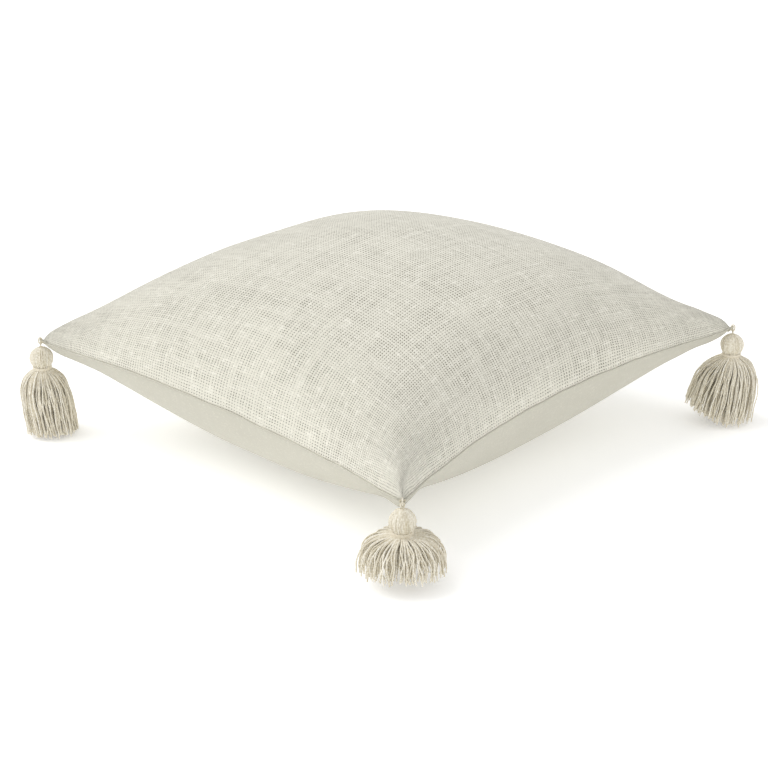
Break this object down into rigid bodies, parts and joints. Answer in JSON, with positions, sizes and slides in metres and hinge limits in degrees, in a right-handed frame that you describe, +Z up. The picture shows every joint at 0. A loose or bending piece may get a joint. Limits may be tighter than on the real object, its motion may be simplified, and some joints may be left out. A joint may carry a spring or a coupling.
{
  "type": "floor cushion",
  "caption": "Square knife-edge floor cushion in undyed cotton with a zipped cover, loose inner pad and a hinged yarn tassel at each corner.",
  "frame": {"origin": "on the floor under the middle of the cushion", "axes": "+Z up; X and Y along the sides of the cover; the low front corner is at +X, -Y and the zip is in the +Y side"},
  "size_m": [0.6648, 0.6648, 0.2443],
  "materials": {
    "slub_cotton": "undyed slub plain weave, matt",
    "plain_cotton": "undyed flat plain weave, matt",
    "pad_calico": "thin unbleached calico",
    "fibre_filling": "white polyester fibre",
    "zip_tape": "woven tape",
    "zip_coil": "nylon coil",
    "zip_metal": "dull plated zinc alloy",
    "sewing_thread": "cotton thread",
    "natural_yarn": "loosely plied natural cotton",
    "binding_yarn": "tightly wound natural cotton"
  },
  "bodies": {
    "cushion": {"cover_top_panel": "slub_cotton", "cover_back_panel": "plain_cotton", "cover_seam": "plain_cotton", "pad_casing_top": "pad_calico", "pad_casing_bottom": "pad_calico", "pad_seam": "pad_calico", "pad_filling": "fibre_filling", "zip_tape_upper": "zip_tape", "zip_tape_lower": "zip_tape", "zip_coil_upper": "zip_coil", "zip_coil_lower": "zip_coil", "zip_stop_closed_end": "zip_metal", "zip_stop_open_end": "zip_metal", "corner_tack_front": "sewing_thread", "corner_tack_right": "sewing_thread", "corner_tack_back": "sewing_thread", "corner_tack_left": "sewing_thread"},
    "loop_front": {"hanging_loop_front": "natural_yarn"},
    "tassel_front": {"tassel_head_front": "natural_yarn", "tassel_binding_front": "binding_yarn", "tassel_skirt_front": "natural_yarn"},
    "loop_right": {"hanging_loop_right": "natural_yarn"},
    "tassel_right": {"tassel_head_right": "natural_yarn", "tassel_binding_right": "binding_yarn", "tassel_skirt_right": "natural_yarn"},
    "loop_back": {"hanging_loop_back": "natural_yarn"},
    "tassel_back": {"tassel_head_back": "natural_yarn", "tassel_binding_back": "binding_yarn", "tassel_skirt_back": "natural_yarn"},
    "loop_left": {"hanging_loop_left": "natural_yarn"},
    "tassel_left": {"tassel_head_left": "natural_yarn", "tassel_binding_left": "binding_yarn", "tassel_skirt_left": "natural_yarn"},
    "zip_slider": {"zip_slider": "zip_metal"},
    "zip_pull_tab": {"zip_pull_tab": "zip_metal"}
  },
  "joints": [
    {"name": "tassel_lift_front", "type": "hinge", "parent": "cushion", "child": "loop_front", "pos_m": [0.29438, -0.29438, 0.09], "axis": [-0.7071, -0.7071, 0], "range_deg": [0, 80]},
    {"name": "tassel_sway_front", "type": "hinge", "parent": "loop_front", "child": "tassel_front", "pos_m": [0.29438, -0.29438, 0.08475], "axis": [0.7071, -0.7071, 0], "range_deg": [-75, 75]},
    {"name": "tassel_lift_right", "type": "hinge", "parent": "cushion", "child": "loop_right", "pos_m": [0.29438, 0.29438, 0.12], "axis": [0.7071, -0.7071, 0], "range_deg": [-5, 80]},
    {"name": "tassel_sway_right", "type": "hinge", "parent": "loop_right", "child": "tassel_right", "pos_m": [0.29438, 0.29438, 0.11475], "axis": [0.7071, 0.7071, 0], "range_deg": [-70, 70]},
    {"name": "tassel_lift_back", "type": "hinge", "parent": "cushion", "child": "loop_back", "pos_m": [-0.29438, 0.29438, 0.12], "axis": [0.7071, 0.7071, 0], "range_deg": [-5, 80]},
    {"name": "tassel_sway_back", "type": "hinge", "parent": "loop_back", "child": "tassel_back", "pos_m": [-0.29438, 0.29438, 0.11475], "axis": [-0.7071, 0.7071, 0], "range_deg": [-70, 70]},
    {"name": "tassel_lift_left", "type": "hinge", "parent": "cushion", "child": "loop_left", "pos_m": [-0.29438, -0.29438, 0.12], "axis": [-0.7071, 0.7071, 0], "range_deg": [-5, 80]},
    {"name": "tassel_sway_left", "type": "hinge", "parent": "loop_left", "child": "tassel_left", "pos_m": [-0.29438, -0.29438, 0.11475], "axis": [-0.7071, -0.7071, 0], "range_deg": [-70, 70]},
    {"name": "zip_slide", "type": "slide", "parent": "cushion", "child": "zip_slider", "axis": [1, 0, 0], "range_m": [0, 0.33]},
    {"name": "pull_tab_turn", "type": "hinge", "parent": "zip_slider", "child": "zip_pull_tab", "pos_m": [-0.184, 0.26985, 0.114], "axis": [0, 0, 1], "range_deg": [0, 150]}
  ]
}
